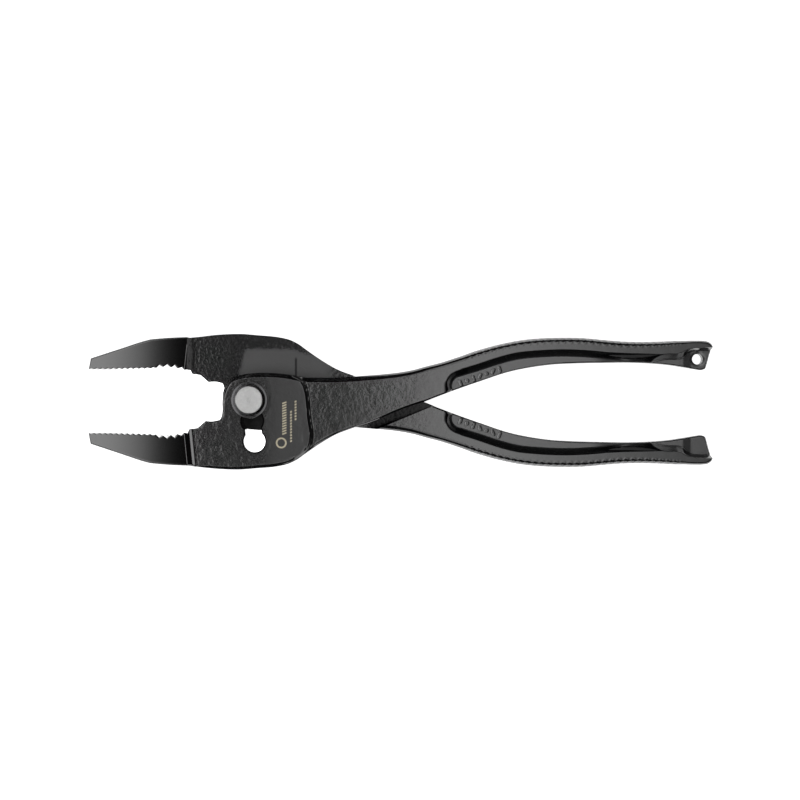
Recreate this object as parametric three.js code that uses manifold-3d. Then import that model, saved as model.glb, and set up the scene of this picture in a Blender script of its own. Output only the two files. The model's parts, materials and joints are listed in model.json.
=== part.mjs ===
// Slip-joint fencing pliers: two forged levers, lapped at the joint, on a shouldered bolt and its nut.
// Millimetres, +Z up. The origin is on the pivot axis, at the level that the closed tool rests on.
import * as THREE from "three";
import { mergeVertices } from "three/addons/utils/BufferGeometryUtils.js";
import Module from "manifold-3d";

// Each lever is drawn in its own frame: x runs towards the handle, y is counted from the tool's mirror
// line and z from the lap plane. The jaw is at the lower left and the handle at the upper right.

// Levels, from the lap plane
const LAP_GAP = 0.3; // between the two lapped plates
const BOSS_FACE = 5.5;
const NECK_FACE = 4.95;
const WEB_FACE = 2.6;
const TAB_FACE = 1.65;
const JAW_ROOT_FACE = 4.3;
const JAW_TIP_FACE = 3.0;

// Jaw
const JAW_TIP_X = -53.4;
const JAW_WALL_X = -21; // where the full-depth jaw ends and the lapped plate begins
const BOSS_STEP_X = -18.2; // top of the slope from the ground jaw face to the boss
const GRIP_LOW_X = -28.6; // deepest point of the hollow pipe grip
const GRIP_LOW_Y = -11.5;
const GRIP_CURVE = 0.0252; // rise of the pipe grip per square millimetre from its deepest point
const COARSE_START_X = -21.7;
const COARSE_PITCH = 2.42;
const COARSE_TEETH = 4;
const COARSE_DEPTH = 1.0;
const FINE_LINE_Y = -10.4;
const FINE_TEETH = 12;
const FINE_DEPTH = 0.35;

// Pivot and adjusting slot
const PIN_Y = 0.5; // pin axis from the mirror line, on the slotted lever's side
const SLOT_R = 3.8;
const SLOT_NECK = 5.3;
const SLOT_STOPS = 3;
const SLOT_PITCH = 6.85;
const SLOT_ANGLE = THREE.MathUtils.degToRad(-83.9); // from the pin's rest hole to the next hole
const SLOT_CHAMFER = 0.45;

// Bolt and nut
const SHANK_R = 3.65;
const SHANK_FLATS = 5.0; // across the two flats that pass the slot's necks
const JOURNAL_R = 4.0;
const JOURNAL_CLEARANCE = 0.12;
const TAIL_R = 2.5;
const FLANGE_R = 6.0;
const HEAD_TOP_R = 4.7;
const FLANGE_H = 0.7;
const HEAD_H = 2.6;
const FACE_CLEARANCE = 0.1;
const NUT_FLATS = 9.4;
const NUT_H = 2.5;
const NUT_SEAT_R = 5.9;
const NUT_SEAT_DEPTH = 2.8;
const THREAD_CLEARANCE = 0.12;

// Hanging eye
const EYE_X = 147.3;
const EYE_Y = 14.1;
const EYE_R = 1.8;

const ARC_STEPS = 20;
const SPLINE_STEPS = 3; // per point of a spline
const ROUND_STEPS = 48;
const OVERCUT = 2; // how far a cutter passes the faces that it cuts

const FORGED_BLACK = { color: 0x3a3a3c, roughness: 0.5, metalness: 0.6 };
const BRIGHT_STEEL = { color: 0xc6c7c9, roughness: 0.28, metalness: 1.0 };
const DARK_STEEL = { color: 0x55565a, roughness: 0.42, metalness: 0.9 };

const wasm = await Module();
wasm.setup();

function solid(geometry) {
  geometry.deleteAttribute("normal");
  geometry.deleteAttribute("uv");
  const merged = mergeVertices(geometry);
  const vertProperties = merged.attributes.position.array;
  const triVerts = new Uint32Array(merged.index.array);
  return new wasm.Manifold(new wasm.Mesh({ numProp: 3, vertProperties, triVerts }));
}

function mesh(name, body, finish) {
  const { vertProperties, triVerts } = body.getMesh();
  const geometry = new THREE.BufferGeometry();
  geometry.setAttribute("position", new THREE.BufferAttribute(vertProperties, 3));
  geometry.setIndex(new THREE.BufferAttribute(triVerts, 1));
  geometry.computeVertexNormals();
  const piece = new THREE.Mesh(geometry, new THREE.MeshStandardMaterial(finish));
  piece.name = name;
  return piece;
}

const vectors = (points) => points.map(([x, y]) => new THREE.Vector2(x, y));
const polygon = (points) => new THREE.Shape(vectors(points));

function slab(shape, low, high, curveSegments = ARC_STEPS) {
  const options = { depth: high - low, bevelEnabled: false, curveSegments };
  return new THREE.ExtrudeGeometry(shape, options).translate(0, 0, low);
}

function cylinder(radius, low, high, x = 0, y = 0, sides = ROUND_STEPS) {
  const geometry = new THREE.CylinderGeometry(radius, radius, high - low, sides);
  return solid(geometry.rotateX(Math.PI / 2).translate(x, y, (low + high) / 2));
}

// A cutter over a plan region. Its floor is at `floor`, and its walls lean out by `run` up to `top`.
// It cuts down from above on side 1, and up from below on side -1.
function rampCutter(region, floor, top, run, side, curveSegments = SPLINE_STEPS) {
  const options = {
    depth: OVERCUT,
    bevelThickness: top - floor,
    bevelSize: run,
    bevelSegments: 1,
    curveSegments,
  };
  const geometry = new THREE.ExtrudeGeometry(region, options);
  return solid(geometry.translate(0, 0, side > 0 ? top : -top - OVERCUT));
}

// The joint edge of the jaw: throat ledge, hollow pipe grip with coarse teeth, and fine gripping teeth.
function drawJawEdge(shape) {
  shape.lineTo(-8.9, -4.75);
  shape.quadraticCurveTo(-9, -6.35, -10.6, -6.35);
  shape.lineTo(-14.6, -6.35);
  shape.lineTo(-17.3, -8.7);
  shape.lineTo(-19.9, -9.1);
  const gripY = (x) => GRIP_LOW_Y + GRIP_CURVE * (x - GRIP_LOW_X) ** 2;
  for (let i = 0; i < COARSE_TEETH; i++) {
    const peak = COARSE_START_X - i * COARSE_PITCH;
    const valley = peak - COARSE_PITCH * 0.55;
    shape.lineTo(peak, gripY(peak));
    shape.lineTo(valley, gripY(valley) - COARSE_DEPTH);
  }
  const fineStart = COARSE_START_X - COARSE_TEETH * COARSE_PITCH;
  const pitch = (fineStart - JAW_TIP_X) / FINE_TEETH;
  shape.lineTo(fineStart, gripY(fineStart) + FINE_DEPTH);
  for (let i = 0; i < FINE_TEETH; i++) {
    const peak = fineStart - (i + 0.6) * pitch;
    shape.lineTo(peak, FINE_LINE_Y);
    shape.lineTo(peak - pitch * 0.4, FINE_LINE_Y - FINE_DEPTH);
  }
}

function leverOutline() {
  const shape = new THREE.Shape();
  shape.moveTo(-8.6, 2.6);
  drawJawEdge(shape);
  shape.quadraticCurveTo(-53.6, -13.3, -52.0, -14.2);
  shape.lineTo(-35.5, -19.3);
  shape.splineThru(vectors([[-32.5, -20.1], [-21.3, -20.9], [-12, -21.8], [-4.4, -22.1], [3, -21.8]]));
  shape.splineThru(vectors([[9.8, -20.5], [14.8, -18.2], [18.2, -15.7], [24.5, -12.7], [30.5, -9.8]]));
  shape.splineThru(vectors([[36.2, -7.9], [41.1, -6.3], [46.5, -3.9], [51.5, -1.9], [57.4, 0]]));
  shape.splineThru(vectors([[61.5, 1.6], [65.2, 3], [75.7, 6.7], [86.3, 10.2], [96, 12]]));
  shape.splineThru(vectors([[107, 12.7], [118, 12.9], [125.6, 13.1], [133, 12.8], [140, 12.2], [146.4, 10.9]]));
  shape.quadraticCurveTo(149.6, 10.3, 150.2, 12);
  shape.lineTo(151.6, 16.8);
  shape.quadraticCurveTo(152.9, 20.1, 149.2, 20.1);
  shape.splineThru(vectors([[142, 20], [129, 19.6], [121, 19.9], [110, 21.2], [103, 21.3], [94, 21]]));
  shape.splineThru(vectors([[82.7, 19.3], [72, 16.1], [62.5, 12.8], [54, 10.5], [44, 9]]));
  shape.splineThru(vectors([[34, 8.2], [23, 7.8], [16, 8.1], [11, 9.1], [5.3, 9.4], [-1.7, 9]]));
  shape.splineThru(vectors([[-5.1, 8.1], [-7.4, 6.2], [-8.6, 2.6]]));
  return shape;
}

// Side view of a lever, x across and z up: the jaw thins to its tip and steps up to the boss.
function sideProfile() {
  const upper = [
    [JAW_TIP_X - OVERCUT, JAW_TIP_FACE],
    [JAW_WALL_X - 0.3, JAW_ROOT_FACE],
    [JAW_WALL_X + 1.1, (JAW_ROOT_FACE + BOSS_FACE) / 2 + 0.2],
    [BOSS_STEP_X, BOSS_FACE],
    [160, BOSS_FACE],
  ];
  const lower = upper.map(([x, z]) => [x, -z]).reverse();
  const width = 60;
  return solid(slab(polygon([...upper, ...lower]), -width / 2, width / 2).rotateX(Math.PI / 2));
}

// The side of the jaw wall and of the slanted shoulder where the other lever's plate lies.
const lapRegion = () => polygon([[JAW_WALL_X, -40], [70, -40], [70, -3], [34.6, 12], [34.6, 30], [JAW_WALL_X, 30]]);

// All of the lever beyond the boss's edge.
function neckRegion() {
  const shape = new THREE.Shape();
  shape.moveTo(13.6, 30);
  shape.lineTo(13.6, 8.2);
  shape.quadraticCurveTo(17.4, 7, 17.9, 3.3);
  shape.lineTo(19.6, -12.5);
  shape.quadraticCurveTo(19.2, -14.4, 15.4, -17.8);
  shape.lineTo(12.4, -30);
  shape.lineTo(160, -30);
  shape.lineTo(160, 30);
  return shape;
}

// The hollow beside the handle's bar, down to the web.
function webRegion() {
  const shape = new THREE.Shape();
  shape.moveTo(60, -5);
  shape.lineTo(65.8, 5.4);
  shape.quadraticCurveTo(66.2, 7, 70.2, 8.3);
  shape.splineThru(vectors([[76, 10.3], [81, 12], [88, 13.8], [96, 14.6], [104, 14.85], [112, 14.5]]));
  shape.splineThru(vectors([[119, 13.7], [126, 13.2], [134, 13]]));
  shape.lineTo(138, 9);
  shape.lineTo(138, -5);
  return shape;
}

// The thin tab at the handle's end, beside the rim that the bar narrows to.
const tabRegion = () => polygon([[132.5, 5], [134.5, 13.2], [141, 14], [144.4, 15.8], [160, 16.2], [160, 5]]);

// Everything outside the handle's outer edge, whose corners the palm feels.
function palmRegion() {
  const shape = new THREE.Shape();
  shape.moveTo(56, 30);
  shape.lineTo(56, 11.1);
  shape.splineThru(vectors([[62.5, 12.8], [72, 16.1], [82.7, 19.3], [94, 21], [103, 21.3], [110, 21.2]]));
  shape.splineThru(vectors([[121, 19.9], [129, 19.6], [142, 20], [150, 20.2], [160, 20.4]]));
  shape.lineTo(160, 30);
  return shape;
}

// Three overlapping holes in a row from the origin along +x, joined by narrower necks.
function slotShape() {
  const turn = Math.asin(SLOT_NECK / 2 / SLOT_R);
  const last = SLOT_STOPS - 1;
  const shape = new THREE.Shape();
  shape.absarc(0, 0, SLOT_R, turn, 2 * Math.PI - turn);
  for (let i = 1; i < last; i++) {
    shape.absarc(i * SLOT_PITCH, 0, SLOT_R, Math.PI + turn, 2 * Math.PI - turn);
  }
  shape.absarc(last * SLOT_PITCH, 0, SLOT_R, Math.PI + turn, 3 * Math.PI - turn);
  for (let i = last - 1; i > 0; i--) {
    shape.absarc(i * SLOT_PITCH, 0, SLOT_R, turn, Math.PI - turn);
  }
  return shape;
}

function forging() {
  let body = solid(slab(leverOutline(), -BOSS_FACE, BOSS_FACE, SPLINE_STEPS)).intersect(sideProfile());
  body = body.subtract(solid(slab(lapRegion(), -BOSS_FACE - OVERCUT, LAP_GAP / 2)));
  for (const side of [1, -1]) {
    body = body.subtract(rampCutter(neckRegion(), NECK_FACE, BOSS_FACE, 0.55, side));
    body = body.subtract(rampCutter(webRegion(), WEB_FACE, NECK_FACE, NECK_FACE - WEB_FACE, side));
    body = body.subtract(rampCutter(tabRegion(), TAB_FACE, NECK_FACE, 1.6, side));
    body = body.subtract(rampCutter(palmRegion(), NECK_FACE - 2.2, NECK_FACE, 1.7, side));
  }
  return body;
}

function slottedLever() {
  const place = (geometry) => geometry.rotateZ(SLOT_ANGLE).translate(0, PIN_Y, 0);
  const slot = solid(place(slab(slotShape(), -OVERCUT, BOSS_FACE + OVERCUT)));
  const mouth = new THREE.ExtrudeGeometry(slotShape(), {
    depth: OVERCUT,
    bevelThickness: SLOT_CHAMFER,
    bevelSize: SLOT_CHAMFER,
    bevelSegments: 1,
    curveSegments: ARC_STEPS,
  });
  const chamfer = solid(place(mouth).translate(0, 0, BOSS_FACE));
  const eye = cylinder(EYE_R, -BOSS_FACE, BOSS_FACE, EYE_X, EYE_Y, 32);
  return forging().subtract(slot).subtract(chamfer).subtract(eye);
}

function boredLever() {
  const bore = cylinder(JOURNAL_R + JOURNAL_CLEARANCE, 0, BOSS_FACE + OVERCUT, 0, -PIN_Y);
  const seat = cylinder(NUT_SEAT_R, BOSS_FACE - NUT_SEAT_DEPTH, BOSS_FACE + OVERCUT, 0, -PIN_Y);
  return forging().subtract(bore).subtract(seat);
}

// Faced head, flatted shank in the slot, round journal in the other lever, threaded tail in the nut.
function bolt() {
  const under = BOSS_FACE + FACE_CLEARANCE;
  const profile = [
    [0, under],
    [FLANGE_R, under],
    [FLANGE_R, under + FLANGE_H],
    [HEAD_TOP_R, under + HEAD_H],
    [0, under + HEAD_H],
  ];
  const head = solid(new THREE.LatheGeometry(vectors(profile), ROUND_STEPS).rotateX(Math.PI / 2));
  const turn = Math.asin(SHANK_FLATS / 2 / SHANK_R);
  const section = new THREE.Shape();
  section.absarc(0, 0, SHANK_R, -turn, turn);
  section.absarc(0, 0, SHANK_R, Math.PI - turn, Math.PI + turn);
  const shank = solid(slab(section, -0.5, under + 0.5).rotateZ(SLOT_ANGLE));
  const journalEnd = NUT_SEAT_DEPTH - BOSS_FACE;
  const journal = cylinder(JOURNAL_R, journalEnd, 0);
  const tail = cylinder(TAIL_R, -BOSS_FACE, -0.5);
  return head.add(shank).add(journal).add(tail);
}

function nut() {
  const corner = NUT_FLATS / 2 / Math.cos(Math.PI / 6);
  const hexagon = cylinder(corner, -BOSS_FACE, NUT_H - BOSS_FACE, 0, 0, 6);
  return hexagon.subtract(cylinder(TAIL_R + THREAD_CLEARANCE, -BOSS_FACE - OVERCUT, 0));
}

const frontLever = mesh("front_lever", slottedLever(), FORGED_BLACK);
frontLever.position.y = -PIN_Y;

// The bored lever is the same forging, turned over.
const rearLever = mesh("rear_lever", boredLever(), FORGED_BLACK);
rearLever.position.y = -PIN_Y;
rearLever.rotation.x = Math.PI;

const group = new THREE.Group();
group.name = "fencing_pliers";
group.position.z = BOSS_FACE;
group.add(frontLever, rearLever);
group.add(mesh("pivot_bolt", bolt(), BRIGHT_STEEL));
group.add(mesh("pivot_nut", nut(), DARK_STEEL));

export default group;
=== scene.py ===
import json
import math

import bmesh
import bpy
import numpy as np
from mathutils import Matrix, Vector, kdtree, noise


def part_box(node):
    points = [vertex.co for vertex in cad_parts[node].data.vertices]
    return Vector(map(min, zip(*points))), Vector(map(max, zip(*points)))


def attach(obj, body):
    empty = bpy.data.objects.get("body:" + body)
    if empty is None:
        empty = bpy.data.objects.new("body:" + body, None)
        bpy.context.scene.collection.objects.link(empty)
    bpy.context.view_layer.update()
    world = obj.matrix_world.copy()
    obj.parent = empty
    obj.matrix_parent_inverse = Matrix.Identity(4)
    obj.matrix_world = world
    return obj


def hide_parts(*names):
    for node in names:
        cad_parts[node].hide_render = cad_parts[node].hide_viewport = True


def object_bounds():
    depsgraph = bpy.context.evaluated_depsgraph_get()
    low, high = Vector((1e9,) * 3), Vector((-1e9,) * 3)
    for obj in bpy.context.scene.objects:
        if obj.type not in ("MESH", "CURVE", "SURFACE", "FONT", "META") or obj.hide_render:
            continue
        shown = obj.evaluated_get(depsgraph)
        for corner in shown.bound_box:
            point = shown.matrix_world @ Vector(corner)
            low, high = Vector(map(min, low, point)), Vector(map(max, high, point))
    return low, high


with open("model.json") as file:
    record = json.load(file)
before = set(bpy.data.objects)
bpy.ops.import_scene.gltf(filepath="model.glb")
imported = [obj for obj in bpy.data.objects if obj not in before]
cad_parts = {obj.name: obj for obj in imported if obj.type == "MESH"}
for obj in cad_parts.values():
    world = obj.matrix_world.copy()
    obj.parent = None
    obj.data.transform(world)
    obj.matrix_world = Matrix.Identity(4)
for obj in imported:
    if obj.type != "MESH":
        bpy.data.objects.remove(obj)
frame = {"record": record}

CAD_BOX = [list(corner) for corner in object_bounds()]
MM = 0.001
joints = {joint["name"]: joint for joint in frame["record"]["behaviour"]["joints"]}
PIVOT = joints["jaw_pivot"]["pos_m"]  # on the lap plane
SLIP = joints["slip"]["axis"]
BOLT_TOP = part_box("pivot_bolt")[1][2]

# ---------------------------------------------------------------- lever, in its own frame, in mm
# x runs to the handle, y is counted from the mirror line, z from the lap plane.
PIN_Y = 0.5
BOSS, NECK, WEB, TAB = 5.5, 4.85, 2.6, 1.65
JAW_ROOT, JAW_TIP = 4.15, 3.0
WALL_X = -21.0
GROOVE = 0.45  # depth of the groove along the boss's edge
LAP = 0.15
TURN = math.radians(-0.3)  # the lower lever stands open a touch more than its mirror image
LEVER_PLACE = Matrix.Translation(Vector((PIVOT[0], PIVOT[1] - PIN_Y * MM, PIVOT[2])))
SLOT_R, SLOT_NECK, SLOT_PITCH = 3.55, 5.3, 6.85
BORE_R, SEAT_R, SEAT_DEPTH = 4.12, 5.9, 2.8
EYE = (148.1, 14.05)
EYE_R = 1.75
TIP_X, GRIP_X = -53.75, -31.3  # where the fine teeth begin and end
FINE_TEETH, FINE_DEPTH = 12, 0.42
COARSE_TEETH = [(-31.2, -10.9), (-30.2, -11.9), (-28.9, -11.2), (-27.6, -12.1), (-26.3, -11.0),
                (-25.1, -11.9), (-24.2, -10.7), (-22.8, -11.2), (-21.9, -10.25)]
TOOTH_EDGE = 0.14  # width and depth of the rounding along the teeth


def tooth_points():
    """The gripping edge from the tip to the root: fine teeth, then coarse teeth in the pipe grip."""
    points = []
    pitch = (-TIP_X + GRIP_X) / FINE_TEETH
    for i in range(FINE_TEETH):
        peak = TIP_X + i * pitch
        line = -10.4 - 0.35 * (i / FINE_TEETH) ** 2
        points.append((peak, line))
        points.append((peak + pitch * 0.45, line - FINE_DEPTH))
    return points + COARSE_TEETH


# x, y, corner, x of the partner on the lower edge, width and depth of the edge rounding;
# along the teeth every eighth point has a partner
UPPER = [(x, y, 1, None if i % 8 else x, TOOTH_EDGE, TOOTH_EDGE) for i, (x, y) in enumerate(tooth_points())]
UPPER += [
    (-20.7, -10.4, 1, -20.5, 0.2, 0.2),
    (-20.0, -9.05, 1, -19.6, 0.2, 0.2),
    (-17.3, -8.7, 1, -16.6, 0.35, 0.3),
    (-14.6, -6.35, 1, -14.0, 0.4, 0.35),
    (-11.2, -6.3, 0, -11.2, 0.5, 0.4),
    (-9.9, -5.85, 0, None, 0.6, 0.5),
    (-9.4, -4.6, 0, -9.0, 0.7, 0.55),
    (-9.2, 0, 0, None, 0.8, 0.65),
    (-9.0, 2.8, 0, -5.6, 1.0, 0.8),
    (-8.6, 4.3, 0, None, 1.15, 0.9),
    (-7.4, 6.5, 0, -3.6, 1.3, 1.0),
    (-5.1, 8.1, 0, -2.0, 1.4, 1.1),
    (-1.7, 9.0, 0, 0.6, 1.45, 1.15),
    (1.8, 9.35, 0, None, 1.45, 1.15),
    (5.3, 9.4, 0, 5.6, 1.45, 1.15),
    (10.4, 9.1, 0, None, 1.45, 1.15),
    (13.8, 8.6, 0, 14.2, 1.45, 1.15),
    (16.3, 8.1, 0, None, 1.5, 1.2),
    (22.9, 7.8, 0, 24.0, 1.6, 1.25),
    (34.1, 8.2, 0, None, 1.7, 1.35),
    (38.0, 8.5, 0, 41.1, 1.7, 1.4),
    (44.0, 9.0, 0, None, 1.7, 1.5),
    (48.5, 9.5, 0, None, 1.7, 1.6),
    (54.0, 10.5, 0, 57.4, 1.7, 1.7),
    (58.0, 11.6, 0, None, 1.7, 1.8),
    (62.5, 12.75, 0, 65.8, 1.8, 2.0),
    (69.3, 14.9, 0, None, 1.9, 2.2),
    (76.0, 17.05, 0, 79.5, 1.9, 2.3),
    (82.7, 18.85, 0, None, 1.9, 2.3),
    (89.5, 20.15, 0, None, 1.9, 2.3),
    (97.0, 20.85, 0, 98.5, 1.9, 2.3),
    (102.9, 21.0, 0, None, 1.9, 2.3),
    (109.7, 20.9, 0, None, 1.9, 2.3),
    (117.5, 20.2, 0, 117.0, 1.9, 2.3),
    (122.2, 19.8, 0, None, 1.9, 2.3),
    (128.9, 19.6, 0, None, 1.8, 2.3),
    (133.5, 19.65, 0, 133.8, 1.7, 2.3),
    (142.4, 20.0, 0, None, 1.4, 2.0),
    (147.0, 20.15, 0, 146.6, 1.2, 1.8),
    (149.3, 20.1, 0, None, 1.2, 1.8),
    (151.3, 19.7, 0, None, 1.2, 1.8),
    (152.4, 18.6, 0, None, 1.0, 1.6),
    (152.5, 17.5, 0, None, 0.6, 0.8),
    (152.3, 16.6, 1, 150.9, 0.4, 0.35),
]
# x, y, corner, width and depth of the edge rounding
LOWER = [
    (-53.1, -14.0, 1, 0.35, 0.3),
    (-43.0, -17.3, 0, 0.4, 0.35),
    (-34.6, -20.0, 0, 0.4, 0.35),
    (-33.2, -20.35, 0, 0.4, 0.35),
    (-31.8, -20.5, 0, 0.4, 0.35),
    (-21.3, -21.15, 1, 0.4, 0.35),
    (-18.9, -21.35, 0, 0.6, 0.5),
    (-11.4, -22.1, 0, 0.9, 0.7),
    (-5.4, -22.4, 0, 1.0, 0.8),
    (-4.0, -22.4, 0, 1.0, 0.8),
    (1.8, -22.0, 0, 1.05, 0.8),
    (9.4, -21.25, 0, 1.1, 0.85),
    (12.2, -20.6, 0, 1.0, 0.95),
    (15.0, -19.3, 0, 0.95, 1.0),
    (17.9, -17.25, 0, 0.85, 0.95),
    (22.9, -13.85, 0, 0.75, 0.75),
    (28.2, -10.8, 0, 0.65, 0.55),
    (33.5, -8.8, 0, 0.5, 0.5),
    (41.1, -6.3, 0, 0.5, 0.5),
    (46.5, -3.9, 0, 0.5, 0.5),
    (51.5, -1.9, 0, 0.5, 0.5),
    (57.4, 0.0, 0, 0.6, 0.6),
    (61.5, 1.6, 0, 0.6, 0.7),
    (65.2, 3.0, 0, 0.5, 0.5),
    (75.7, 6.7, 0, 0.45, 0.5),
    (86.3, 10.1, 0, 0.45, 0.5),
    (91.6, 11.2, 0, 0.45, 0.5),
    (99.6, 12.3, 0, 0.45, 0.5),
    (107.0, 12.7, 0, 0.45, 0.4),
    (118.0, 12.9, 0, 0.45, 0.2),
    (125.6, 12.95, 0, 0.45, 0.1),
    (133.8, 12.6, 0, 0.45, 0.1),
    (139.1, 12.1, 0, 0.5, 0.35),
    (143.5, 11.4, 0, 0.5, 0.4),
    (147.3, 10.75, 0, 0.5, 0.4),
    (149.6, 10.5, 0, 0.5, 0.4),
    (150.6, 10.9, 0, 0.5, 0.4),
    (151.0, 11.8, 1, 0.5, 0.4),
]


def arc_length(points):
    """Distance along a line of points, from its start to each of them."""
    return np.concatenate([[0], np.cumsum(np.linalg.norm(np.diff(points, axis=0), axis=1))])


def smooth_curve(points, corners, step):
    """A cubic curve through the points that breaks at corners, and where on it each point lies."""
    points = np.asarray(points, float)
    breaks = sorted({0, len(points) - 1} | {i for i, corner in enumerate(corners) if corner})
    out, where = [points[:1]], np.zeros(len(points))
    for a, b in zip(breaks[:-1], breaks[1:]):
        run = points[a:b + 1]
        t = arc_length(run)
        slope = np.gradient(run, t, axis=0, edge_order=2 if len(run) > 2 else 1)
        for i in range(len(run) - 1):
            h = t[i + 1] - t[i]
            u = np.linspace(0, 1, max(2, int(math.ceil(h / step)) + 1))[1:, None]
            out.append(
                (2 * u**3 - 3 * u**2 + 1) * run[i] + (u**3 - 2 * u**2 + u) * h * slope[i]
                + (3 * u**2 - 2 * u**3) * run[i + 1] + (u**3 - u**2) * h * slope[i + 1])
            where[a + i + 1] = sum(len(o) for o in out) - 1
    curve = np.concatenate(out)
    return curve, where.astype(int)


def polygon_distance(p, polygon):
    """Distance to a closed polygon's edge, negative inside."""
    a = np.asarray(polygon, float)
    b = np.roll(a, -1, axis=0)
    best = np.full(len(p), 1e9)
    inside = np.zeros(len(p), bool)
    for (ax, ay), (bx, by) in zip(a, b):
        dx, dy = bx - ax, by - ay
        t = np.clip(((p[:, 0] - ax) * dx + (p[:, 1] - ay) * dy) / (dx * dx + dy * dy + 1e-12), 0, 1)
        best = np.minimum(best, np.hypot(p[:, 0] - ax - t * dx, p[:, 1] - ay - t * dy))
        crosses = (ay > p[:, 1]) != (by > p[:, 1])
        where_x = ax + (p[:, 1] - ay) * dx / (dy if dy else 1e-12)
        inside ^= crosses & (p[:, 0] < where_x)
    return np.where(inside, -best, best)


def soft_step(x, w=0.12):
    """0 below 0 and 1 above 1, straight between, with rounded corners."""
    return np.select(
        [x < -w, x < w, x < 1 - w, x < 1 + w],
        [0 * x, (x + w) ** 2 / (4 * w), x, 1 - (1 + w - x) ** 2 / (4 * w)], 1 + 0 * x)


def curve_polygon(points):
    """A smooth curve through the points, in short steps."""
    return smooth_curve(points, [False] * len(points), 0.5)[0]


WEB_EDGE = curve_polygon(
    [(66.5, 4.0), (66.6, 6.4), (67.4, 7.5), (70.2, 8.5), (75.7, 10.2), (81.1, 12.0), (88.0, 13.8),
     (96.0, 14.6), (104.0, 14.85), (112.0, 14.5), (119.0, 13.8), (126.0, 13.1), (134.0, 12.8), (145.0, 12.8)])
WEB_FLOOR = np.concatenate([[(66.5, -5)], WEB_EDGE, [(145, -5)]])
TAB_FLOOR = np.concatenate([
    curve_polygon([(131.0, 12.0), (133.0, 12.9), (135.0, 13.45), (138.0, 13.8), (141.8, 13.95), (143.3, 14.5),
                   (144.6, 15.7), (146.0, 16.45), (148.5, 16.7), (160, 16.7)]),
    [(160, 5), (131.0, 5)]])
NECK_AREA = np.concatenate([
    [(13.6, 30), (13.6, 9.5)],
    curve_polygon([(13.8, 8.2), (15.6, 7.4), (17.1, 5.8), (17.9, 3.3), (18.8, -4.6), (19.55, -12.3),
                   (19.2, -14.2), (17.8, -16.0), (14.6, -18.4)]),
    [(12, -30), (160, -30), (160, 30)]])
BOSS_RAMP = 0.75  # width of the slope round the boss
STEP_TOP = 5.25  # height where the jaw's step turns into its crest
HANDLE_X = 50  # webs, waists and tabs lie past it


def web_ramp(x):
    """Width of the slope beside the web."""
    return np.interp(x, [67, 70, 118, 128], [1.95, 2.35, 2.35, 2.9])


def tab_ramp(x):
    """Width of the slope beside the tab."""
    return np.interp(x, [142, 146], [1.95, 1.0])


def face_level(p):
    """Height of the upper face before its edges are rounded, and the distance to the web."""
    x = p[:, 0]
    along = np.clip((WALL_X - 0.3 - x) / 32.1, 0, 1)
    level = JAW_ROOT - (JAW_ROOT - JAW_TIP) * (0.35 * along + 0.65 * along**2)
    # the step up to the plate: a slope, a round crest and a fine groove
    lean = x + 0.1 * (p[:, 1] + 13.2)
    level += (STEP_TOP - JAW_ROOT) * soft_step((lean - (WALL_X - 0.55)) / 1.6, 0.03)
    crest_rise = np.clip((lean - (WALL_X + 1.05)) / 1.25, 0, 1)
    level += 0.6 * crest_rise - 0.23 * crest_rise**2
    level -= 0.12 * soft_step((lean - (WALL_X + 2.3)) / 0.4, 0.1)
    level -= 0.3 * np.exp(-((lean - (WALL_X + 2.75)) / 0.26) ** 2)
    past_boss = -polygon_distance(p, NECK_AREA)
    level += (NECK - BOSS) * soft_step(past_boss / BOSS_RAMP, 0.12)
    level -= GROOVE * np.exp(-((past_boss - 0.72) / 0.38) ** 2)
    web = polygon_distance(p, WEB_FLOOR)
    tab = polygon_distance(p, TAB_FLOOR)
    beside_web = WEB + (NECK - WEB) * soft_step(web / web_ramp(x), np.interp(x, [68, 74], [0.16, 0.06]))
    # towards the waist the ramp breaks into a fine crease, a nearly level band and a steep side
    below = web_ramp(x) - web
    drop = 0.15 + 0.05 * np.clip(134.5 - x, 0, 18)
    crease = np.maximum(0.3, 0.9 * drop)
    band = np.interp(x, [116.9, 120, 123.5, 129.5, 132, 134.5], [0, 0.5, 1.0, 1.0, 0.6, 0])
    waist = NECK - drop * soft_step(below / crease, 0.08)
    steep = np.maximum(web_ramp(x) - crease - band, 0.8)
    waist -= (NECK - WEB - drop) * soft_step((below - crease - band) / steep, 0.06)
    share = soft_step((x - 112) / 5, 0.3)
    level = np.where(x > HANDLE_X, np.minimum(level, beside_web + (waist - beside_web) * share), level)
    floor_level = np.interp(x, [130, 136, 143.2, 145.8], [2.45, 2.2, 2.3, TAB])
    beside_tab = floor_level + (NECK - floor_level) * soft_step(tab / tab_ramp(x), 0.06)
    level = np.where(x > HANDLE_X, np.minimum(level, beside_tab), level)
    return level, web


def web_marks(p):
    """Height of a row of plain raised bars and dots on the web."""
    count, pitch, rise = 7, 2.15, 0.26
    start_x, start_y = 69.4, 6.1
    dot_r, bar_r, bar_half = 0.42, 0.24, 0.72
    height = np.zeros(len(p))
    for i in range(count):
        x = start_x + pitch * i
        y = 0.36 * (x - start_x) + start_y
        if i % 3 == 1:
            d = np.hypot(p[:, 0] - x, p[:, 1] - y) - dot_r
        else:
            lean = (0.35, 0.75) if i % 2 else (-0.3, 0.8)
            t = np.clip((p[:, 0] - x) * lean[0] + (p[:, 1] - y) * lean[1], -bar_half, bar_half)
            d = np.hypot(p[:, 0] - x - t * lean[0], p[:, 1] - y - t * lean[1]) - bar_r
        height = np.maximum(height, rise * np.clip(1 - d / 0.3, 0, 1) ** 0.7)
    return height


def rumple(x, y, layer, size, amount):
    """Smooth unevenness of the given size, the same on every run."""
    depth = layer / size + 7.3
    return np.array([noise.noise(Vector((a / size, b / size, depth))) for a, b in zip(x, y)]) * amount


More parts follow.
